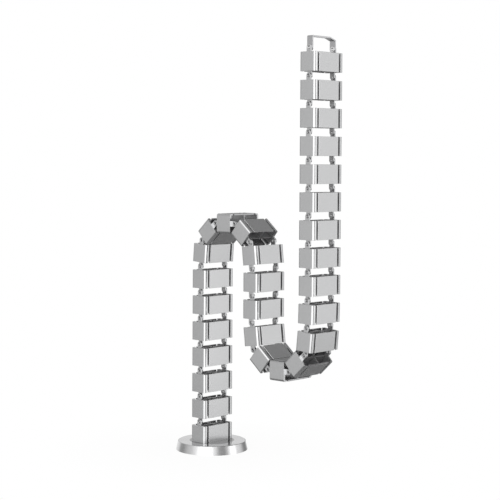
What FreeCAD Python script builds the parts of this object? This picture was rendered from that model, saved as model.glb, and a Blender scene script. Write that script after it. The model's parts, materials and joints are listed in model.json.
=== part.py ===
import FreeCAD, Part
import math
import os
import Sketcher

# Cable spine: a weighted round base, a chain of hinged four-channel vertebrae standing in an S,
# and a steel bracket at the free end. Millimetres, +Z up, origin at the middle of the base's underside.
# X lies in the plane in which the chain bends, and every pivot axis runs along Y.

# Driving sizes: lengths in millimetres, angles in degrees
SIZES = {
    # vertebra box
    "box_depth": 32.0,
    "box_width": 67.0,
    "box_height": 30.0,
    "corner_radius": 4.0,
    "face_wall": 2.5,
    "end_wall": 3.2,
    "web_thickness": 2.0,
    "plate_width": 46.6,
    "plate_bevel": 0.4,
    "entry_slot": 3.6,
    # ears, arms and hollow pivot pins
    "ear_width": 9.0,
    "ear_thickness": 2.2,
    "ear_root": 10.0,
    "arm_thickness": 2.2,
    "side_clearance": 0.2,
    "pin_diameter": 6.0,
    "pin_bore": 3.6,
    "running_clearance": 0.05,
    # how far a joint bends each way before the rims meet, and the gap left between them there
    "bend_stop": 44.0,
    "rim_clearance": 0.27,
    # base, with a shallow seat in its top for the foot of the chain
    "base_top_radius": 56.5,
    "base_bottom_radius": 60.0,
    "base_height": 15.0,
    "base_edge": 1.0,
    "seat_depth": 2.0,
    "seat_clearance": 0.3,
    "pad_radius": 57.0,
    "pad_thickness": 2.0,
    "pad_stand": 0.5,
    # screws that hold the lowest vertebra on the base
    "screw_inset": 13.5,
    "screw_diameter": 4.0,
    "screw_grip": 12.0,
    "screw_end_room": 2.0,
    "screw_clearance": 0.25,
    "screw_head_diameter": 8.0,
    "screw_head_height": 4.0,
    "screw_head_recess": 4.3,
    "screw_socket": 3.0,
    "screw_socket_depth": 2.0,
    "boss_diameter": 9.0,
    "boss_height": 18.0,
    # bracket at the free end and its hollow rivets
    "strip_width": 11.0,
    "strip_thickness": 2.0,
    "strip_rise": 18.4,
    "strip_bend_radius": 2.5,
    "strip_end_flat": 0.8,
    "shoulder_run": 14.0,
    "shoulder_drop": 4.4,
    "bracket_hole": 4.5,
    "bracket_hole_spacing": 20.0,
    "rivet_bore": 4.8,
    "rivet_flange": 8.4,
    "rivet_flange_thickness": 0.6,
    # the S in which the spine stands
    "half_turn": 180.0,
}
VERTEBRA_COUNT = 29
# How far each joint is bent in the stored pose, as a share of its stop. The joint after the last
# of each group closes the half turn.
ARCH_TURNS = {8: 0.10, 9: 0.98, 10: 0.965, 11: 0.91, 12: 0.99}
LOOP_TURNS = {15: 0.15, 16: 0.99, 17: 0.91, 18: 0.965, 19: 0.955, 20: 0.09}
# How near an edge or a volume must be to count as the same
NEAR_ENOUGH = 0.01

doc = FreeCAD.newDocument("CableSpine")
sheet = doc.addObject("Spreadsheet::Sheet", "Sizes")


def turn_name(joint):
    return f"turn_{joint:02d}"


cells = dict(SIZES)
cells.update({turn_name(joint): share for joint, share in {**ARCH_TURNS, **LOOP_TURNS}.items()})
for row, (name, size) in enumerate(cells.items(), start=1):
    sheet.set(f"A{row}", name)
    sheet.set(f"B{row}", str(size))
    sheet.setAlias(f"B{row}", name)
doc.recompute()

# Lengths that follow from the driving sizes
LINK_GAP = "(Sizes.box_depth * tan(Sizes.bend_stop / 2) + Sizes.rim_clearance)"
HALF_GAP = f"({LINK_GAP} / 2)"
UPPER_PIVOT = f"(Sizes.box_height + {HALF_GAP})"
LOWER_PIVOT = f"(0 - {HALF_GAP})"
EAR_OUTER = "(Sizes.box_width / 2 - Sizes.end_wall)"
EAR_INNER = f"({EAR_OUTER} - Sizes.ear_thickness)"
ARM_OUTER = f"({EAR_INNER} - Sizes.side_clearance)"
ARM_INNER = f"({ARM_OUTER} - Sizes.arm_thickness)"
STRIP_INNER = f"({ARM_OUTER} - Sizes.strip_thickness)"
EAR_BORE = "(Sizes.pin_diameter + 2 * Sizes.running_clearance)"
SCREW_PLACE = "(Sizes.box_width / 2 - Sizes.screw_inset)"
SCREW_SEAT = "(Sizes.pad_thickness + Sizes.screw_head_recess)"
CHAIN_FOOT = "(Sizes.base_height - Sizes.seat_depth)"
SCREW_TOP = f"({CHAIN_FOOT} + Sizes.screw_grip)"


def value(text):
    """The number that an expression on the sheet gives now."""
    return float(sheet.evalExpression(text))


def start_sketch(body, name, plane, offset=None):
    sketch = body.newObject("Sketcher::SketchObject", name)
    support = next(f for f in body.Origin.OriginFeatures if f.Role == plane)
    sketch.AttachmentSupport = [(support, "")]
    sketch.MapMode = "FlatFace"
    if offset:
        sketch.setExpression("AttachmentOffset.Base.z", offset)
    return sketch


def pin_point(sketch, geometry, end, x, y):
    """Hold one end of a sketch line at x, y from the sketch's origin, both given as expressions."""
    for kind, text in (("DistanceX", x), ("DistanceY", y)):
        number = sketch.addConstraint(
            Sketcher.Constraint(kind, -1, 1, geometry, end, value(text))
        )
        sketch.setExpression(f"Constraints[{number}]", text)


def add_outline(sketch, corners):
    """A closed outline of straight lines through corners given as pairs of expressions."""
    at = [FreeCAD.Vector(value(x), value(y), 0) for x, y in corners]
    lines = [
        sketch.addGeometry(Part.LineSegment(at[i], at[(i + 1) % len(at)]), False)
        for i in range(len(at))
    ]
    for i, line in enumerate(lines):
        following = lines[(i + 1) % len(lines)]
        sketch.addConstraint(Sketcher.Constraint("Coincident", line, 2, following, 1))
        pin_point(sketch, line, 1, *corners[i])


def add_rectangle(sketch, half_x, half_y):
    """A rectangle about the sketch's origin."""
    corners = (
        (f"0 - {half_x}", f"0 - {half_y}"),
        (half_x, f"0 - {half_y}"),
        (half_x, half_y),
        (f"0 - {half_x}", half_y),
    )
    add_outline(sketch, corners)


def add_circle(sketch, x, y, diameter):
    centre = FreeCAD.Vector(value(x), value(y), 0)
    circle = sketch.addGeometry(
        Part.Circle(centre, FreeCAD.Vector(0, 0, 1), value(diameter) / 2), False
    )
    pin_point(sketch, circle, 3, x, y)
    number = sketch.addConstraint(Sketcher.Constraint("Diameter", circle, value(diameter)))
    sketch.setExpression(f"Constraints[{number}]", diameter)


def add_tongue(sketch, root, pivot, upward):
    """A strip that starts at root and ends in a half circle about the pivot, as wide as an ear."""
    half = "Sizes.ear_width / 2"
    centre = FreeCAD.Vector(0, value(pivot), 0)
    first = 0 if upward else math.pi
    circle = Part.Circle(centre, FreeCAD.Vector(0, 0, 1), value(half))
    arc = sketch.addGeometry(Part.ArcOfCircle(circle, first, first + math.pi), False)
    start_side = half if upward else f"0 - {half}"
    end_side = f"0 - {half}" if upward else half
    start = FreeCAD.Vector(value(start_side), value(pivot), 0)
    end = FreeCAD.Vector(value(end_side), value(pivot), 0)
    start_root = FreeCAD.Vector(start.x, value(root), 0)
    end_root = FreeCAD.Vector(end.x, value(root), 0)
    going = sketch.addGeometry(Part.LineSegment(start_root, start), False)
    coming = sketch.addGeometry(Part.LineSegment(end, end_root), False)
    closing = sketch.addGeometry(Part.LineSegment(end_root, start_root), False)
    pairs = ((going, 2, arc, 1), (arc, 2, coming, 1), (coming, 2, closing, 1), (closing, 2, going, 1))
    for pair in pairs:
        sketch.addConstraint(Sketcher.Constraint("Coincident", *pair))
    pin_point(sketch, going, 1, start_side, root)
    pin_point(sketch, going, 2, start_side, pivot)
    pin_point(sketch, coming, 1, end_side, pivot)
    pin_point(sketch, coming, 2, end_side, root)
    number = sketch.addConstraint(
        Sketcher.Constraint("DistanceY", -1, 1, arc, 3, value(pivot))
    )
    sketch.setExpression(f"Constraints[{number}]", pivot)


def pad(body, name, sketch, length):
    feature = body.newObject("PartDesign::Pad", name)
    feature.Profile = sketch
    feature.setExpression("Length", length)
    doc.recompute()
    return feature


def pocket(body, name, sketch, length=None, both_ways=False, forward=False):
    """A cut through everything, or as deep as length says. forward cuts along the sketch's normal."""
    volume = body.Shape.Volume
    feature = body.newObject("PartDesign::Pocket", name)
    feature.Profile = sketch
    if length:
        feature.setExpression("Length", length)
    else:
        feature.Type = "ThroughAll"
    if both_ways:
        feature.SideType = "Symmetric"
    feature.Reversed = forward
    doc.recompute()
    if body.Shape.Volume > volume - NEAR_ENOUGH:
        raise RuntimeError(f"{name} cuts nothing")
    return feature


def revolve(body, name, sketch, axis):
    feature = body.newObject("PartDesign::Revolution", name)
    feature.Profile = sketch
    feature.ReferenceAxis = (sketch, [axis])
    feature.Angle = 360
    doc.recompute()
    return feature


def fillet(body, name, base, radius, chosen):
    """Round the edges of a feature for which chosen, a test on an edge, is true."""
    names = [
        f"Edge{number}"
        for number, edge in enumerate(base.Shape.Edges, start=1)
        if chosen(edge)
    ]
    if not names:
        raise RuntimeError(f"{name} finds no edge")
    feature = body.newObject("PartDesign::Fillet", name)
    feature.Base = (base, names)
    feature.setExpression("Radius", radius)
    doc.recompute()
    return feature


def new_body(name):
    body = doc.addObject("PartDesign::Body", name)
    body.Label = name
    return body


def is_straight_along(edge, direction):
    if not isinstance(edge.Curve, Part.Line):
        return False
    return edge.Curve.Direction.cross(direction).Length < NEAR_ENOUGH


def is_upright(edge):
    return is_straight_along(edge, FreeCAD.Vector(0, 0, 1))


def add_channel(sketch, side_x, side_y):
    """One of the four cable channels, with its entry slot and the bevel on the plate beside the slot."""
    web = "Sizes.web_thickness / 2"
    inside = "(Sizes.box_depth / 2 - Sizes.face_wall)"
    face = "Sizes.box_depth / 2"
    beyond = f"({face} + Sizes.face_wall)"
    plate = "Sizes.plate_width / 2"
    flange = f"({plate} + Sizes.entry_slot)"
    end = EAR_OUTER
    corners = (
        (web, web),
        (inside, web),
        (inside, plate),
        (f"({face} - Sizes.plate_bevel)", plate),
        (face, f"({plate} - Sizes.plate_bevel)"),
        (beyond, f"({plate} - Sizes.plate_bevel)"),
        (beyond, flange),
        (inside, flange),
        (inside, end),
        (web, end),
    )
    placed = [(f"{side_x} * {x}", f"{side_y} * {y}") for x, y in corners]
    add_outline(sketch, placed)


def add_block(body):
    """The hollow box: a rounded block with four channels that leave a cross-shaped web inside."""
    outline = start_sketch(body, f"{body.Name}_Outline", "XY_Plane")
    add_rectangle(outline, "Sizes.box_depth / 2", "Sizes.box_width / 2")
    block = pad(body, f"{body.Name}_Block", outline, "Sizes.box_height")
    fillet(body, f"{body.Name}_Corners", block, "Sizes.corner_radius", is_upright)
    channels = start_sketch(body, f"{body.Name}_Channels", "XY_Plane")
    for side_x in (1, -1):
        for side_y in (1, -1):
            add_channel(channels, side_x, side_y)
    pocket(body, f"{body.Name}_ChannelCut", channels, forward=True)


def add_ear(body):
    """The outer ear at the -Y end, with the bore in which the next vertebra's pin turns."""
    ear = start_sketch(body, f"{body.Name}_EarOutline", "XZ_Plane", EAR_INNER)
    add_tongue(ear, "Sizes.box_height - Sizes.ear_root", UPPER_PIVOT, upward=True)
    add_circle(ear, "0", UPPER_PIVOT, EAR_BORE)
    return [pad(body, f"{body.Name}_Ear", ear, "Sizes.ear_thickness")]


def add_arm(body):
    """The inner arm at the -Y end, its root on the end wall and its hollow pin."""
    arm = start_sketch(body, f"{body.Name}_ArmOutline", "XZ_Plane", ARM_INNER)
    add_tongue(arm, "Sizes.ear_root", LOWER_PIVOT, upward=False)
    add_circle(arm, "0", LOWER_PIVOT, "Sizes.pin_bore")
    half = "Sizes.ear_width / 2"
    root = start_sketch(body, f"{body.Name}_RootOutline", "XZ_Plane", ARM_OUTER)
    corners = (
        (f"0 - {half}", "0"),
        (half, "0"),
        (half, "Sizes.ear_root"),
        (f"0 - {half}", "Sizes.ear_root"),
    )
    add_outline(root, corners)
    pin = start_sketch(body, f"{body.Name}_PinOutline", "XZ_Plane", ARM_OUTER)
    add_circle(pin, "0", LOWER_PIVOT, "Sizes.pin_diameter")
    add_circle(pin, "0", LOWER_PIVOT, "Sizes.pin_bore")
    reach = "(Sizes.ear_thickness + Sizes.side_clearance)"
    return [
        pad(body, f"{body.Name}_Arm", arm, "Sizes.arm_thickness"),
        pad(body, f"{body.Name}_Root", root, reach),
        pad(body, f"{body.Name}_Pin", pin, reach),
    ]


def add_screw_bosses(body):
    """Two bosses on the long web of the lowest vertebra, open below for the base's screws."""
    bosses = start_sketch(body, f"{body.Name}_BossOutline", "XY_Plane")
    holes = start_sketch(body, f"{body.Name}_BossHoles", "XY_Plane")
    for side in (1, -1):
        y = f"{side} * {SCREW_PLACE}"
        add_circle(bosses, "0", y, "Sizes.boss_diameter")
        add_circle(holes, "0", y, "Sizes.screw_diameter")
    pad(body, f"{body.Name}_Bosses", bosses, "Sizes.boss_height")
    depth = "Sizes.screw_grip + Sizes.screw_end_room"
    pocket(body, f"{body.Name}_BossBores", holes, depth, forward=True)


def mirror_across_middle(body, features):
    mirrored = body.newObject("PartDesign::Mirrored", f"{body.Name}_OtherEnd")
    mirrored.Originals = features
    plane = next(f for f in body.Origin.OriginFeatures if f.Role == "XZ_Plane")
    mirrored.MirrorPlane = (plane, [""])
    body.Tip = mirrored
    doc.recompute()


def build_vertebra(name, with_arms):
    """A vertebra in its own frame: the middle of its lower rim at the origin, the chain along +Z."""
    body = new_body(name)
    add_block(body)
    features = add_ear(body)
    if with_arms:
        features += add_arm(body)
    mirror_across_middle(body, features)
    if not with_arms:
        add_screw_bosses(body)
    return body


def bend_at(joint):
    """The bend of a joint in the stored pose, as an expression in degrees. + turns from +Z toward +X."""
    for turns, sign in ((ARCH_TURNS, ""), (LOOP_TURNS, "0 - ")):
        bends = {number: f"Sizes.{turn_name(number)} * Sizes.bend_stop" for number in turns}
        if joint in bends:
            return f"{sign}{bends[joint]}"
        if joint == max(bends) + 1:
            return f"{sign}(Sizes.half_turn - ({' + '.join(bends.values())}))"
    return "0"


def give_station(piece):
    """The numbers that place a piece of the chain: where its frame stands, and how it leans."""
    for name in ("StationX", "StationZ", "Heading"):
        piece.addProperty("App::PropertyFloat", name, "Chain")
    name = piece.Name
    piece.setExpression(
        "Placement",
        f"placement(vector({name}.StationX; 0; {name}.StationZ);"
        f" rotation(vector(0; 1; 0); {name}.Heading))",
    )


def follow(piece, before, joint, beyond_pivot):
    """Put a piece on the upper pivot of the one before, with its own frame beyond_pivot past that pivot."""
    give_station(piece)
    heading = f"{before.Name}.Heading"
    piece.setExpression("Heading", f"{heading} + {bend_at(joint)}")
    for axis, turn in (("X", "sin"), ("Z", "cos")):
        piece.setExpression(
            f"Station{axis}",
            f"{before.Name}.Station{axis} + {UPPER_PIVOT} * {turn}({heading})"
            f" + {beyond_pivot} * {turn}({piece.Name}.Heading)",
        )


def build_chain():
    """All vertebrae from the base up. All but the lowest are copies of one moulding."""
    lowest = build_vertebra("vertebra_01", with_arms=False)
    give_station(lowest)
    lowest.setExpression("StationZ", CHAIN_FOOT)
    moulding = build_vertebra("VertebraMoulding", with_arms=True)
    chain = [lowest]
    for number in range(2, VERTEBRA_COUNT + 1):
        vertebra = doc.addObject("App::Link", f"vertebra_{number:02d}")
        vertebra.LinkedObject = moulding
        vertebra.Label = vertebra.Name
        follow(vertebra, chain[-1], number, HALF_GAP)
        chain.append(vertebra)
    return chain


def build_base_disc():
    """The weighted base: a turned disc with a flared side, seats for pad and chain and two screw holes."""
    body = new_body("base_disc")
    profile = start_sketch(body, "BaseProfile", "XZ_Plane")
    corners = (
        ("0", "Sizes.pad_thickness"),
        ("Sizes.pad_radius", "Sizes.pad_thickness"),
        ("Sizes.pad_radius", "Sizes.pad_stand"),
        ("Sizes.base_bottom_radius", "Sizes.pad_stand"),
        ("Sizes.base_top_radius", "Sizes.base_height"),
        ("0", "Sizes.base_height"),
    )
    add_outline(profile, corners)
    disc = revolve(body, "BaseTurned", profile, "V_Axis")
    top = value("Sizes.base_height")
    fillet(
        body,
        "BaseTopEdge",
        disc,
        "Sizes.base_edge",
        lambda edge: isinstance(edge.Curve, Part.Circle) and edge.BoundBox.ZMin > top - NEAR_ENOUGH,
    )
    seat = start_sketch(body, "BaseSeatOutline", "XY_Plane", "Sizes.base_height")
    add_rectangle(
        seat,
        "(Sizes.box_depth / 2 + Sizes.seat_clearance)",
        "(Sizes.box_width / 2 + Sizes.seat_clearance)",
    )
    sunk = pocket(body, "BaseSeat", seat, "Sizes.seat_depth")
    fillet(
        body,
        "BaseSeatCorners",
        sunk,
        "Sizes.corner_radius + Sizes.seat_clearance",
        lambda edge: is_upright(edge) and edge.BoundBox.ZMax > top - NEAR_ENOUGH,
    )
    holes = start_sketch(body, "BaseScrewHoles", "XY_Plane")
    recesses = start_sketch(body, "BaseHeadRecesses", "XY_Plane")
    for side in (1, -1):
        y = f"{side} * {SCREW_PLACE}"
        add_circle(holes, "0", y, "Sizes.screw_diameter + 2 * Sizes.screw_clearance")
        add_circle(recesses, "0", y, "Sizes.screw_head_diameter + 2 * Sizes.screw_clearance")
    pocket(body, "BaseScrewCut", holes, forward=True)
    pocket(body, "BaseHeadCut", recesses, SCREW_SEAT, forward=True)
    return body


def build_base_pad():
    """The non-slip pad in the base's underside, which covers the screw heads."""
    body = new_body("base_pad")
    outline = start_sketch(body, "PadOutline", "XY_Plane")
    add_circle(outline, "0", "0", "2 * Sizes.pad_radius")
    pad(body, "PadSheet", outline, "Sizes.pad_thickness")
    return body


def build_screw():
    """A cap screw that stands head down: head, shank and hexagon socket."""
    body = new_body("ScrewForm")
    profile = start_sketch(body, "ScrewProfile", "XZ_Plane")
    head = "Sizes.screw_head_diameter / 2"
    shank = "Sizes.screw_diameter / 2"
    bottom = f"({SCREW_SEAT} - Sizes.screw_head_height)"
    corners = (
        ("0", bottom),
        (head, bottom),
        (head, SCREW_SEAT),
        (shank, SCREW_SEAT),
        (shank, SCREW_TOP),
        ("0", SCREW_TOP),
    )
    add_outline(profile, corners)
    revolve(body, "ScrewTurned", profile, "V_Axis")
    socket = start_sketch(body, "ScrewSocket", "XY_Plane")
    to_corner = "Sizes.screw_socket / 2 / cos(30)"
    hexagon = [(f"{to_corner} * cos({angle})", f"{to_corner} * sin({angle})") for angle in range(0, 360, 60)]
    add_outline(socket, hexagon)
    pocket(body, "ScrewSocketCut", socket, f"{bottom} + Sizes.screw_socket_depth", forward=True)
    return body


def build_screws():
    """Both base screws, each a copy of one form."""
    form = build_screw()
    screws = []
    for name, side in (("base_screw_left", -1), ("base_screw_right", 1)):
        screw = doc.addObject("App::Link", name)
        screw.LinkedObject = form
        screw.Label = name
        place = f"vector(0; {side} * {SCREW_PLACE}; 0)"
        screw.setExpression("Placement", f"placement({place}; rotation(vector(0; 0; 1); 0))")
        screws.append(screw)
    return screws


def build_bracket(last):
    """The steel strip on the last vertebra's ears: square at the near end, sloped at the far shoulder."""
    body = new_body("top_bracket")
    strip = "Sizes.strip_thickness"
    rise = "Sizes.strip_rise"
    run = "Sizes.shoulder_run"
    drop = "Sizes.shoulder_drop"
    slope = f"sqrt({run} * {run} + {drop} * {drop})"
    foot = "(0 - Sizes.strip_width / 2)"
    inner_top_y = f"{ARM_OUTER} - {run} - {strip} * ({slope} - {run}) / {drop}"
    inner_low_z = f"{rise} - {strip} * {slope} / {run} - ({run} - {strip}) * {drop} / {run}"
    profile = start_sketch(body, "BracketProfile", "YZ_Plane")
    corners = (
        (f"0 - {ARM_OUTER}", foot),
        (f"0 - {STRIP_INNER}", foot),
        (f"0 - {STRIP_INNER}", f"{rise} - {strip}"),
        (inner_top_y, f"{rise} - {strip}"),
        (STRIP_INNER, inner_low_z),
        (STRIP_INNER, foot),
        (ARM_OUTER, foot),
        (ARM_OUTER, f"{rise} - {drop}"),
        (f"{ARM_OUTER} - {run}", rise),
        (f"0 - {ARM_OUTER}", rise),
    )
    add_outline(profile, corners)
    bar = pad(body, "BracketStrip", profile, "Sizes.strip_width")
    bar.SideType = "Symmetric"
    doc.recompute()
    along_x = FreeCAD.Vector(1, 0, 0)
    along_y = FreeCAD.Vector(0, 1, 0)
    near = -value(ARM_OUTER)
    top = value(rise)
    bent = fillet(
        body,
        "BracketBend",
        bar,
        "Sizes.strip_bend_radius",
        lambda edge: is_straight_along(edge, along_x)
        and abs(edge.BoundBox.YMin - near) < NEAR_ENOUGH
        and abs(edge.BoundBox.ZMax - top) < NEAR_ENOUGH,
    )
    low = value(foot)
    fillet(
        body,
        "BracketLegEnds",
        bent,
        "(Sizes.strip_width - Sizes.strip_end_flat) / 2",
        lambda edge: is_straight_along(edge, along_y) and edge.BoundBox.ZMax < low + NEAR_ENOUGH,
    )
    eyes = start_sketch(body, "BracketEyes", "XZ_Plane")
    add_circle(eyes, "0", "0", EAR_BORE)
    pocket(body, "BracketEyeCut", eyes, both_ways=True)
    holes = start_sketch(body, "BracketHoles", "XY_Plane")
    for side in (1, -1):
        add_circle(holes, "0", f"{side} * Sizes.bracket_hole_spacing / 2", "Sizes.bracket_hole")
    pocket(body, "BracketHoleCut", holes, forward=True)
    follow(body, last, VERTEBRA_COUNT + 1, "0")
    return body


def build_rivet(name, side, bracket):
    """A hollow rivet through a bracket leg and the ear outside it, flanged inside the leg."""
    body = new_body(name)
    profile = start_sketch(body, f"{name}_Profile", "YZ_Plane")
    tube = "Sizes.pin_diameter / 2"
    bore = "Sizes.rivet_bore / 2"
    flange = "Sizes.rivet_flange / 2"
    inner_end = f"({STRIP_INNER} - Sizes.rivet_flange_thickness)"
    corners = (
        (f"{side} * {EAR_OUTER}", bore),
        (f"{side} * {EAR_OUTER}", tube),
        (f"{side} * {STRIP_INNER}", tube),
        (f"{side} * {STRIP_INNER}", flange),
        (f"{side} * {inner_end}", flange),
        (f"{side} * {inner_end}", bore),
    )
    add_outline(profile, corners)
    revolve(body, f"{name}_Turned", profile, "H_Axis")
    give_station(body)
    for axis in ("X", "Z"):
        body.setExpression(f"Station{axis}", f"{bracket.Name}.Station{axis}")
    body.setExpression("Heading", f"{bracket.Name}.Heading")
    return body


def check(pieces):
    """Stop before anything is written if an object failed or a piece's shape isn't one sound solid."""
    for item in doc.Objects:
        if "Invalid" in item.State or "Error" in item.State:
            raise RuntimeError(f"{item.Label} failed: {item.State}")
    for piece in pieces:
        shape = Part.getShape(piece)
        if shape.isNull() or not shape.isValid() or len(shape.Solids) != 1:
            raise RuntimeError(f"{piece.Label} has no sound solid")


chain = build_chain()
pieces = list(chain)
pieces.append(build_base_disc())
pieces.append(build_base_pad())
pieces += build_screws()
bracket = build_bracket(chain[-1])
pieces.append(bracket)
pieces.append(build_rivet("bracket_rivet_left", -1, bracket))
pieces.append(build_rivet("bracket_rivet_right", 1, bracket))
doc.recompute()
check(pieces)
os.makedirs("parts", exist_ok=True)
for piece in pieces:
    Part.getShape(piece).exportStep(f"parts/{piece.Label}.step")
print(f"{len(pieces)} pieces, link gap {value(LINK_GAP):.3f}")
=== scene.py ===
import json
import math

import bmesh
import bpy
from mathutils import Matrix, Vector

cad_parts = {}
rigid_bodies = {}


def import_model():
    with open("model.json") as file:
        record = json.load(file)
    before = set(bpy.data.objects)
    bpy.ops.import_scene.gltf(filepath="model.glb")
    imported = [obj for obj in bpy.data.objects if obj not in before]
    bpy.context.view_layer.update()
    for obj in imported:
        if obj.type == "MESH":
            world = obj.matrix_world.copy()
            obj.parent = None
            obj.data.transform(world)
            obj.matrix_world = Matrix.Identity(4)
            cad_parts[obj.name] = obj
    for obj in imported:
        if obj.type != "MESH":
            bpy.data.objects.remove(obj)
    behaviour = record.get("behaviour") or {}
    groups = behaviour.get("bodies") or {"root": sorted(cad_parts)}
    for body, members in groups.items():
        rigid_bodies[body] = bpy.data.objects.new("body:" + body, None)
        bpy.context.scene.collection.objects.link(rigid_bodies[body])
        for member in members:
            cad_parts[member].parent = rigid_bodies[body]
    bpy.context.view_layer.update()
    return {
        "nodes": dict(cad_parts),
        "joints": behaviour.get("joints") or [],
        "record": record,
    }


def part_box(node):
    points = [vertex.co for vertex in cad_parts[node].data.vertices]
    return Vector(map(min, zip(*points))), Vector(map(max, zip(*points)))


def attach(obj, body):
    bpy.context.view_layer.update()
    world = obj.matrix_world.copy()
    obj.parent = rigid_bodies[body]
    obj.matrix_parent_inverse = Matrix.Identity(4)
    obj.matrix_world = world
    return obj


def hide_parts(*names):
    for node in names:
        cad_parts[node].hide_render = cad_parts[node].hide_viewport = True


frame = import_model()
record = frame["record"]
bodyOfNode = {node: body for body, members in record["behaviour"]["bodies"].items() for node in members}
slotOfNode = {part["node"]: part["material_slot"] for part in record["subparts"]}
print("frame loaded:", len(frame["nodes"]), "nodes")

# What a user would change stands in one dictionary for each piece, beside the code that uses it.
# Lengths are in metres, angles in degrees, and colours are linear.


# a socket that understands + - and *, and makes any other node that its tree needs
class Signal:
    def __init__(self, tree, socket=None):
        self.tree = tree
        self.socket = socket

    # type, then settings, then the values or links of the sockets
    def node(self, kind, settings=None, sockets=None, output=0):
        made = self.tree.nodes.new(kind)
        for name, setting in (settings or {}).items():
            if name == "stops":
                fillRamp(made.color_ramp, setting)
            else:
                setattr(made, name, setting)
        for name, entry in (sockets or {}).items():
            if isinstance(entry, Signal):
                self.tree.links.new(entry.socket, made.inputs[name])
            else:
                made.inputs[name].default_value = entry
        return Signal(self.tree, made.outputs[output]) if len(made.outputs) else None

    def sibling(self, output):
        return Signal(self.tree, self.socket.node.outputs[output])

    def maths(self, operation, first, second):
        return self.node("ShaderNodeMath", {"operation": operation}, {0: first, 1: second})

    def __add__(self, other):
        return self.maths("ADD", self, other)

    def __sub__(self, other):
        return self.maths("SUBTRACT", self, other)

    def __mul__(self, other):
        return self.maths("MULTIPLY", self, other)

    def __radd__(self, other):
        return self.maths("ADD", other, self)

    def __rsub__(self, other):
        return self.maths("SUBTRACT", other, self)

    def __rmul__(self, other):
        return self.maths("MULTIPLY", other, self)


def fillRamp(ramp, stops):
    while len(ramp.elements) < len(stops):
        ramp.elements.new(0.5)  # its place follows below
    for element, (place, level) in zip(ramp.elements, stops):
        element.position = place
        element.color = (level, level, level, 1)


def newMaterial(name):
    material = bpy.data.materials.new(name)
    material.use_nodes = True
    material.node_tree.nodes.clear()
    return material, Signal(material.node_tree)


def objectPlace(graph, scale=(1, 1, 1)):
    place = graph.node("ShaderNodeTexCoord", output="Object")
    return graph.node("ShaderNodeMapping", {}, {"Vector": place, "Scale": scale})


noiseRoughness = 0.55


# a grain is a noise's scale and detail
def noise(place, grain):
    scale, detail = grain
    sockets = {"Vector": place, "Scale": scale, "Detail": detail, "Roughness": noiseRoughness}
    return place.node("ShaderNodeTexNoise", {}, sockets, "Fac")


# the length of a vector, or the distance or the product of two
def measure(operation, first, second=(0, 0, 0)):
    return first.node("ShaderNodeVectorMath", {"operation": operation}, {0: first, 1: second}, "Value")


def mixColours(share, first, second):
    return share.node("ShaderNodeMix", {"data_type": "RGBA"}, {0: share, 6: first, 7: second}, 2)


# a bump's size is its strength and distance
def bump(height, size):
    strength, distance = size
    return height.node("ShaderNodeBump", {}, {"Height": height, "Strength": strength, "Distance": distance})


# as the level goes along the reach, this goes from the first height to the second
def fade(level, reach, heights):
    return level.node("ShaderNodeMapRange", {"clamp": True}, {
        "Value": level,
        "From Min": reach[0],
        "From Max": reach[1],
        "To Min": heights[0],
        "To Max": heights[1],
    })


def finish(graph, sockets):
    surface = graph.node("ShaderNodeBsdfPrincipled", {}, sockets)
    graph.node("ShaderNodeOutputMaterial", {}, {"Surface": surface})


# each finish: the colours that a noise mixes, its grains, how rough it is, and how much rougher its
# grains make it
silver = {
    "colours": ((0.60, 0.605, 0.61, 1), (0.70, 0.70, 0.705, 1)),
    # the dark colours of the painted shade in channels, rims and the inner sides of ears and arms
    "shadeColours": ((0.25, 0.25, 0.255, 1), (0.32, 0.32, 0.325, 1)),
    "cloud": (14, 2),
    "flakes": (2600, 2),
    "skin": (420, 3),
    "cloudShare": 0.6,
    "flakeShare": 0.5,
    "metal": 0.92,
    "insideMetal": 0.45,
    "roughness": 0.13,
    "flakeRoughness": 0.05,
    "insideRoughness": 0.25,
    "bump": (0.05, 0.0001),
}


# the vertebrae: metallic lacquer, darkened with painted shade and made less metallic and rougher where the
# face attribute for painted shade is high
def makeSilverPlastic():
    material, graph = newMaterial("silverPlastic")
    place = objectPlace(graph)
    cloud = noise(place, silver["cloud"])
    flakes = noise(place, silver["flakes"])
    skin = noise(place, silver["skin"])
    inside = graph.node("ShaderNodeAttribute", {"attribute_name": "inside"}, {}, "Fac")
    mottle = cloud * silver["cloudShare"] + flakes * (1 - silver["cloudShare"])
    lacquer = mixColours(mottle, *silver["colours"])
    shadedColour = mixColours(mottle, *silver["shadeColours"])
    roughened = flakes * silver["flakeRoughness"] + inside * silver["insideRoughness"]
    grain = flakes * silver["flakeShare"] + skin * (1 - silver["flakeShare"])
    finish(graph, {
        "Base Color": mixColours(inside, lacquer, shadedColour),
        "Metallic": silver["metal"] - inside * (silver["metal"] - silver["insideMetal"]),
        "Roughness": roughened + silver["roughness"],
        "Normal": bump(grain, silver["bump"]),
    })
    return material


# the shade that the chain's foot casts on the base, by the distance from the foot's middle
contact = {"reach": (0.0365, 0.0380), "depth": 0.62, "colour": (0, 0, 0, 1)}
chrome = {
    "colours": ((0.72, 0.72, 0.73, 1), (0.78, 0.78, 0.785, 1)),
    "smudge": (22, 3),
    "dust": (900, 2),
    "rings": (1100, 2),
    "ringShare": 0.8,
    "roughness": 0.12,
    "smudgeRoughness": 0.08,
    "ringRoughness": 0.05,
    "bump": (0.05, 0.0001),
}


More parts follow.
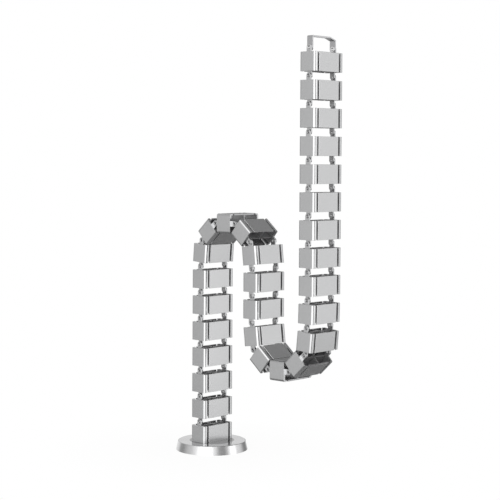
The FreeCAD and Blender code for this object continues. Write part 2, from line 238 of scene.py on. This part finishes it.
# the base: turned and polished, with fine rings about its axis and a shade where the chain stands
def makeChrome():
    material, graph = newMaterial("polishedChrome")
    place = objectPlace(graph)
    smudge = noise(place, chrome["smudge"])
    dust = noise(place, chrome["dust"])
    low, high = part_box("vertebra_01")
    foot = ((low[0] + high[0]) / 2, (low[1] + high[1]) / 2, low[2])
    shade = fade(measure("DISTANCE", place, foot), contact["reach"], (contact["depth"], 0))
    flat = place.node("ShaderNodeVectorMath", {"operation": "MULTIPLY"}, {0: place, 1: (1, 1, 0)})
    height = place.node("ShaderNodeSeparateXYZ", {}, {0: place}, "Z")
    turned = height.node("ShaderNodeCombineXYZ", {}, {"X": measure("LENGTH", flat), "Y": height})
    rings = noise(turned, chrome["rings"])
    grain = rings * chrome["ringShare"] + dust * (1 - chrome["ringShare"])
    roughened = smudge * chrome["smudgeRoughness"] + rings * chrome["ringRoughness"]
    finish(graph, {
        "Base Color": mixColours(shade, mixColours(smudge, *chrome["colours"]), contact["colour"]),
        "Metallic": 1,
        "Roughness": roughened + chrome["roughness"],
        "Normal": bump(grain, chrome["bump"]),
    })
    return material


rubber = {
    "colours": ((0.018, 0.018, 0.019, 1), (0.05, 0.05, 0.052, 1)),
    "grain": (1500, 3),
    "stretch": (1, 1, 1),
    "metal": 0,
    "roughness": 0.68,
    "grainRoughness": 0.2,
    "bump": (0.35, 0.0002),
}
zinc = {
    "colours": ((0.55, 0.58, 0.62, 1), (0.72, 0.73, 0.76, 1)),
    "grain": (700, 2),
    "stretch": (1, 1, 1),
    "metal": 1,
    "roughness": 0.28,
    "grainRoughness": 0.14,
}
steel = {
    "colours": ((0.52, 0.52, 0.53, 1), (0.68, 0.68, 0.69, 1)),
    "grain": (1800, 2),
    "stretch": (1, 0.04, 0.6),
    "metal": 1,
    "roughness": 0.24,
    "grainRoughness": 0.16,
    "bump": (0.10, 0.0001),
}
rivetMetal = {
    "colours": ((0.88, 0.88, 0.885, 1), (0.95, 0.95, 0.95, 1)),
    "grain": (800, 2),
    "stretch": (1, 1, 1),
    "metal": 1,
    "roughness": 0.14,
    "grainRoughness": 0.10,
}


# a finish with one grain, which brushing stretches
def makeGrained(name, recipe):
    material, graph = newMaterial(name)
    grain = noise(objectPlace(graph, recipe["stretch"]), recipe["grain"])
    sockets = {
        "Base Color": mixColours(grain, *recipe["colours"]),
        "Metallic": recipe["metal"],
        "Roughness": grain * recipe["grainRoughness"] + recipe["roughness"],
    }
    if "bump" in recipe:
        sockets["Normal"] = bump(grain, recipe["bump"])
    finish(graph, sockets)
    return material


materials = {
    "vertebra": makeSilverPlastic(),
    "base": makeChrome(),
    "pad": makeGrained("blackRubber", rubber),
    "screw": makeGrained("zincPlate", zinc),
    "bracket": makeGrained("brushedSteel", steel),
    "rivet": makeGrained("brightMetal", rivetMetal),
}
print("materials made:", len(materials))


def linkPiece(name, mesh):
    piece = bpy.data.objects.new(name, mesh)
    bpy.context.scene.collection.objects.link(piece)
    return piece


def applyModifiers(piece):
    bpy.context.view_layer.update()
    depsgraph = bpy.context.evaluated_depsgraph_get()
    mesh = bpy.data.meshes.new_from_object(piece.evaluated_get(depsgraph), depsgraph=depsgraph)
    piece.modifiers.clear()
    old = piece.data
    piece.data = mesh
    bpy.data.meshes.remove(old)


meshCare = {"mergeReach": 0.000002, "flatAngle": 0.3, "flatWeight": 100}
# depths and widths count from a vertebra's middle, and the shades say how much painted shade a face gets
# there, together with a less metallic, rougher finish
vertebra = {
    "edgeRadius": 0.0003,
    "edgeSteps": 2,
    "sharpAngle": 38,
    "channelDepth": 0.0136,
    "channelWidth": 0.0304,
    "plateWidth": 0.0240,
    "earWidth": 0.0046,
    "armInside": 0.0250,
    "facingShare": 0.9,
    "channelShade": 1.0,
    "armShade": 0.55,
    "rimShade": 0.5,
}
metalwork = {"edgeRadius": 0.00015, "edgeSteps": 2, "sharpAngle": 32}


# the line through a vertebra's two pivots: a point on it and its direction
def pivotLine(node):
    body = bodyOfNode[node]
    low = [joint["pos_m"] for joint in frame["joints"] if joint["child"] == body]
    high = [joint["pos_m"] for joint in frame["joints"] if joint["parent"] == body]
    start = Vector(low[0]) if low else Vector((0, 0, 0))
    return start, (Vector(high[0]) - start).normalized()


# the faces that get painted shade, and a less metallic, rougher finish: channels, slot walls, the inner sides
# of ears and arms, and the rims
def markInside(node, form):
    start, upward = pivotLine(node)
    acrossBox = upward.cross(Vector((0, 1, 0)))
    mark = form.faces.layers.float.new("inside")
    for face in form.faces:
        middle = face.calc_center_median()
        depth = abs((middle - start).dot(acrossBox))
        width = abs(middle.y)
        channel = depth < vertebra["channelDepth"] and width < vertebra["channelWidth"]
        tongue = depth < vertebra["earWidth"] and width > vertebra["armInside"]
        if abs(face.normal.y) > vertebra["facingShare"]:
            hidden = face.normal.y * middle.y < 0 or width < vertebra["plateWidth"]
            shade = vertebra["armShade"]
        elif abs(face.normal.dot(upward)) > vertebra["facingShare"]:
            hidden = not tongue
            shade = vertebra["rimShade"]
        else:
            hidden = channel and not tongue
            shade = vertebra["channelShade"]
        face[mark] = shade if hidden else 0


# a moulded or turned piece: its own edges rounded a little, its flat faces kept flat
def makeFinishedPiece(node, name, recipe):
    mesh = frame["nodes"][node].data.copy()
    form = bmesh.new()
    form.from_mesh(mesh)
    bmesh.ops.remove_doubles(form, verts=form.verts, dist=meshCare["mergeReach"])
    flat = math.radians(meshCare["flatAngle"])
    bmesh.ops.dissolve_limit(form, angle_limit=flat, verts=form.verts, edges=form.edges)
    for face in form.faces:
        face.smooth = True
    if recipe is vertebra:
        markInside(node, form)
    form.to_mesh(mesh)
    form.free()
    mesh.materials.clear()
    mesh.materials.append(materials[slotOfNode[node]])
    piece = linkPiece(name, mesh)
    edges = piece.modifiers.new("roundedEdges", "BEVEL")
    edges.limit_method = "ANGLE"
    edges.angle_limit = math.radians(recipe["sharpAngle"])
    edges.width = recipe["edgeRadius"]
    edges.segments = recipe["edgeSteps"]
    edges.harden_normals = True
    flats = piece.modifiers.new("flatFaces", "WEIGHTED_NORMAL")
    flats.weight = meshCare["flatWeight"]
    flats.keep_sharp = True
    applyModifiers(piece)
    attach(piece, bodyOfNode[node])
    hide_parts(node)


for node in sorted(frame["nodes"]):
    if node.startswith("vertebra"):
        makeFinishedPiece(node, node.replace("vertebra", "mouldedVertebra"), vertebra)
print("vertebrae finished")

for node in ("base_disc", "top_bracket", "bracket_rivet_left", "bracket_rivet_right"):
    makeFinishedPiece(node, "finished_" + node, metalwork)
for node in ("base_pad", "base_screw_left", "base_screw_right"):
    solid = frame["nodes"][node]
    solid.data.materials.clear()
    solid.data.materials.append(materials[slotOfNode[node]])
print("metalwork finished")


pinLip = {
    "reach": 0.0303,
    "ringRadius": 0.0024,
    "wireRadius": 0.00045,
    "ringSteps": 36,
    "wireSteps": 10,
    # how much painted shade dims the lips
    "shade": 0.6,
}


# the rolled lip at both ends of a link's hollow pins
def makeLipTree():
    tree = bpy.data.node_groups.new("pinLips", "GeometryNodeTree")
    tree.is_modifier = True
    face = tree.interface
    face.new_socket(name="Geometry", in_out="OUTPUT", socket_type="NodeSocketGeometry")
    face.new_socket(name="Geometry", in_out="INPUT", socket_type="NodeSocketGeometry")
    for name, kind in (
        ("Ring Radius", "NodeSocketFloat"),
        ("Wire Radius", "NodeSocketFloat"),
        ("Ring Steps", "NodeSocketInt"),
        ("Wire Steps", "NodeSocketInt"),
        ("First Place", "NodeSocketVector"),
        ("To The Other", "NodeSocketVector"),
        ("Shade", "NodeSocketFloat"),
        ("Material", "NodeSocketMaterial"),
    ):
        face.new_socket(name=name, in_out="INPUT", socket_type=kind)
    given = Signal(tree).node("NodeGroupInput")
    ring = given.node("GeometryNodeCurvePrimitiveCircle", {}, {
        "Resolution": given.sibling("Ring Steps"),
        "Radius": given.sibling("Ring Radius"),
    })
    wire = given.node("GeometryNodeCurvePrimitiveCircle", {}, {
        "Resolution": given.sibling("Wire Steps"),
        "Radius": given.sibling("Wire Radius"),
    })
    lip = given.node("GeometryNodeCurveToMesh", {}, {"Curve": ring, "Profile Curve": wire})
    turned = given.node("GeometryNodeTransform", {}, {"Geometry": lip, "Rotation": (math.pi / 2, 0, 0)})
    places = given.node("GeometryNodeMeshLine", {}, {
        "Count": 2,
        "Start Location": given.sibling("First Place"),
        "Offset": given.sibling("To The Other"),
    })
    lips = given.node("GeometryNodeInstanceOnPoints", {}, {"Points": places, "Instance": turned})
    real = given.node("GeometryNodeRealizeInstances", {}, {"Geometry": lips})
    smooth = given.node("GeometryNodeSetShadeSmooth", {}, {"Geometry": real})
    # the lips get painted shade through the same face attribute, which dims their highlight
    shaded = given.node("GeometryNodeStoreNamedAttribute", {"data_type": "FLOAT", "domain": "FACE"}, {
        "Geometry": smooth,
        "Name": "inside",
        "Value": given.sibling("Shade"),
    })
    dressed = given.node("GeometryNodeSetMaterial", {}, {
        "Geometry": shaded,
        "Material": given.sibling("Material"),
    })
    given.node("NodeGroupOutput", {}, {"Geometry": dressed})
    return tree


def setInputs(modifier, settings):
    for item in modifier.node_group.interface.items_tree:
        if item.in_out == "INPUT" and item.name in settings:
            modifier[item.identifier] = settings[item.name]


lipTree = makeLipTree()
for joint in frame["joints"]:
    if joint["name"].startswith("bend"):
        piece = linkPiece(joint["child"] + "_pinLips", bpy.data.meshes.new("lips"))
        lips = piece.modifiers.new("lips", "NODES")
        lips.node_group = lipTree
        x, _, z = joint["pos_m"]
        setInputs(lips, {
            "Ring Radius": pinLip["ringRadius"],
            "Wire Radius": pinLip["wireRadius"],
            "Ring Steps": pinLip["ringSteps"],
            "Wire Steps": pinLip["wireSteps"],
            "First Place": (x, -pinLip["reach"], z),
            "To The Other": (0, 2 * pinLip["reach"], 0),
            "Shade": pinLip["shade"],
            "Material": materials["vertebra"],
        })
        applyModifiers(piece)
        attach(piece, joint["child"])
print("pin lips made")

# the camera, as the photograph was taken
view = {
    "azimuth": 42.518,
    "elevation": 2.445,
    "roll": 0.409,
    "distance": 2.24003,
    "target": (0.12981, 0.0, 0.389996),
    "lens": 100.553,
    "shift": (-0.0410, -0.0618),
    "farthest": 50,
}
# the walls of the studio as the metal mirrors them: degrees round the object, counted from the
# camera's side with its left hand negative, and how bright the wall is there
walls = [
    (-180, 1.08),
    (-150, 0.88),
    (-134, 0.82),
    (-121, 0.38),
    (-104, 0.34),
    (-92, 0.49),
    (-87, 0.58),
    (-82, 0.67),
    (-70, 0.74),
    (-54, 1.1),
    (-38, 1.9),
    (-30, 2.1),
    (2, 2.1),
    (10, 1.42),
    (20, 0.84),
    (28, 0.40),
    (46, 0.30),
    (55, 0.74),
    (64, 1.4),
    (72, 1.95),
    (83, 1.9),
    (89, 1.2),
    (93, 0.87),
    (101, 0.93),
    (112, 0.74),
    (124, 0.38),
    (138, 0.24),
    (150, 0.34),
    (168, 0.95),
    (180, 1.08),
]
# the ramp of the walls holds each level as a share of this
rampTop = 2


# how bright the wall is that lies in the direction of a vector. A full turn counts as 1, and the
# camera's side stands in the middle of the ramp
def wallLight(direction):
    across = direction.node("ShaderNodeSeparateXYZ", {}, {0: direction})
    ahead = across.sibling("Y")
    angle = across.node("ShaderNodeMath", {"operation": "ARCTAN2"}, {0: across, 1: 0 - ahead})
    turned = angle * (0.5 / math.pi) + (0.5 - view["azimuth"] / 360)
    turn = turned.node("ShaderNodeMath", {"operation": "FRACT"}, {0: turned})
    stops = [((degrees + 180) / 360, level / rampTop) for degrees, level in walls]
    return turn.node("ShaderNodeValToRGB", {"stops": stops}, {"Fac": turn}) * rampTop


# a direction's height goes from -1 straight down to 1 straight up, and its turn from -1 behind the
# object to 1 on the camera's side, or for the ceiling from left to right. whitenessReach is a distance
# from the base's middle.
studio = {
    "white": (1, 1, 1, 1),
    "backdrop": 1.0,
    "floorSize": 14.0,
    "floorGap": 0.0002,
    "floorColour": (0.93, 0.93, 0.93, 1),
    "whitenessReach": (0.06, 0.28),
    "floorWhiteness": (0.95, 1.0),
    "ceiling": 0.26,
    "ceilingLeft": 0.52,
    "ceilingTurn": (0.1, -0.5),
    "ceilingReach": (0.08, 0.62),
    "skylight": 1.45,
    "skylightReach": (0.38, 0.58),
    "skylightTurn": (0.2, 0.6),
    "ground": 0.20,
    "groundReach": (-0.14, -0.50),
    "skirting": 0.12,
    "skirtingTop": (0.16, 0.08),
    "skirtingFoot": (-0.07, -0.02),
    "pelmetReach": (0.26, 0.36),
    "backTurn": (-0.80, -0.94),
}


# the floor: pale, with the object's shadow, and as white as the backdrop further off.
# The metal mirrors the room below it instead.
def makeFloor():
    material, graph = newMaterial("paleFloor")
    place = graph.node("ShaderNodeTexCoord", output="Object")
    away = measure("LENGTH", place)
    rays = graph.node("ShaderNodeLightPath")
    paint = graph.node("ShaderNodeBsdfDiffuse", {}, {"Color": studio["floorColour"]})
    white = graph.node("ShaderNodeEmission", {}, {"Color": studio["white"], "Strength": studio["backdrop"]})
    whiteness = fade(away, studio["whitenessReach"], studio["floorWhiteness"])
    share = rays.sibling("Is Camera Ray") * whiteness
    surface = graph.node("ShaderNodeMixShader", {}, {0: share, 1: paint, 2: white})
    graph.node("ShaderNodeOutputMaterial", {}, {"Surface": surface})
    mesh = bpy.data.meshes.new("floor")
    form = bmesh.new()
    bmesh.ops.create_grid(form, x_segments=1, y_segments=1, size=studio["floorSize"])
    form.to_mesh(mesh)
    form.free()
    mesh.materials.append(material)
    floor = linkPiece("floor", mesh)
    floor.location.z = -studio["floorGap"]
    floor.visible_glossy = False


# the room: white to the camera, and to the metal a ring of light and dark walls. The ceiling is dark,
# darkest on the right, with a skylight on the camera's side. The ground is dark, and at the back only
# a band of the wall is bright.
def makeWorld():
    world = bpy.data.worlds.new("studioRoom")
    bpy.context.scene.world = world
    world.use_nodes = True
    world.node_tree.nodes.clear()
    graph = Signal(world.node_tree)
    direction = graph.node("ShaderNodeTexCoord", output="Generated")
    height = graph.node("ShaderNodeSeparateXYZ", {}, {0: direction}, "Z")
    turn = math.radians(view["azimuth"])
    cameraSide = (math.sin(turn), -math.cos(turn), 0)
    rightSide = (math.cos(turn), math.sin(turn), 0)
    facing = measure("DOT_PRODUCT", direction, cameraSide)
    skirting = fade(height, studio["skirtingTop"], (0, 1)) * fade(height, studio["skirtingFoot"], (0, 1))
    pelmet = fade(height, studio["pelmetReach"], (0, 1))
    dimmed = (skirting + pelmet) * fade(facing, studio["backTurn"], (0, 1))
    wall = wallLight(direction) * (1 - dimmed) + dimmed * studio["skirting"]
    above = fade(height, studio["ceilingReach"], (0, 1))
    below = fade(height, studio["groundReach"], (0, 1))
    skylight = fade(height, studio["skylightReach"], (0, 1)) * fade(facing, studio["skylightTurn"], (0, 1))
    rightward = measure("DOT_PRODUCT", direction, rightSide)
    ceiling = fade(rightward, studio["ceilingTurn"], (studio["ceiling"], studio["ceilingLeft"]))
    level = wall * (1 - above - below) + above * ceiling + below * studio["ground"]
    level = level + skylight * studio["skylight"]
    lit = graph.node("ShaderNodeBackground", {}, {"Color": studio["white"], "Strength": level})
    white = graph.node("ShaderNodeBackground", {}, {"Color": studio["white"], "Strength": studio["backdrop"]})
    seen = graph.node("ShaderNodeLightPath", output="Is Camera Ray")
    mixed = graph.node("ShaderNodeMixShader", {}, {0: seen, 1: lit, 2: white})
    graph.node("ShaderNodeOutputWorld", {}, {"Surface": mixed})


softboxes = {
    "keyBox": {"turn": -24, "height": 1.3, "distance": 2.6, "size": (1.6, 1.2), "glow": 0.8},
    "sideBox": {"turn": 72, "height": 1.3, "distance": 2.6, "size": (1.2, 1.2), "glow": 0.5},
}


def makeSoftbox(name, box):
    turn = math.radians(view["azimuth"] + box["turn"])
    target = Vector(view["target"])
    place = Vector((math.sin(turn), -math.cos(turn), 0)) * box["distance"]
    place = place + Vector((target.x, target.y, box["height"]))
    width, height = box["size"]
    lamp = bpy.data.lights.new(name, "AREA")
    lamp.shape = "RECTANGLE"
    lamp.size = width
    lamp.size_y = height
    lamp.energy = box["glow"] * math.pi * width * height
    lampObject = bpy.data.objects.new(name, lamp)
    bpy.context.scene.collection.objects.link(lampObject)
    aim = Vector((target.x, target.y, box["height"])) - place
    lampObject.location = place
    lampObject.rotation_euler = aim.to_track_quat("-Z", "Y").to_euler()
    lampObject.visible_camera = False


def makeCamera():
    turn, lift, roll = (math.radians(view[name]) for name in ("azimuth", "elevation", "roll"))
    back = Vector((math.sin(turn) * math.cos(lift), -math.cos(turn) * math.cos(lift), math.sin(lift)))
    right = Vector((math.cos(turn), math.sin(turn), 0))
    up = back.cross(right)
    rolledRight = right * math.cos(roll) + up * math.sin(roll)
    rolledUp = up * math.cos(roll) - right * math.sin(roll)
    place = Vector(view["target"]) + back * view["distance"]
    lens = bpy.data.cameras.new("photoView")
    lens.lens = view["lens"]
    lens.shift_x, lens.shift_y = view["shift"]
    lens.clip_end = view["farthest"]
    camera = bpy.data.objects.new("photoView", lens)
    bpy.context.scene.collection.objects.link(camera)
    columns = Matrix((rolledRight, rolledUp, back)).transposed()
    camera.matrix_world = Matrix.Translation(place) @ columns.to_4x4()
    bpy.context.scene.camera = camera


makeFloor()
makeWorld()
for name, box in softboxes.items():
    makeSoftbox(name, box)
makeCamera()
bpy.context.scene.view_settings.view_transform = "Standard"
print("studio ready")
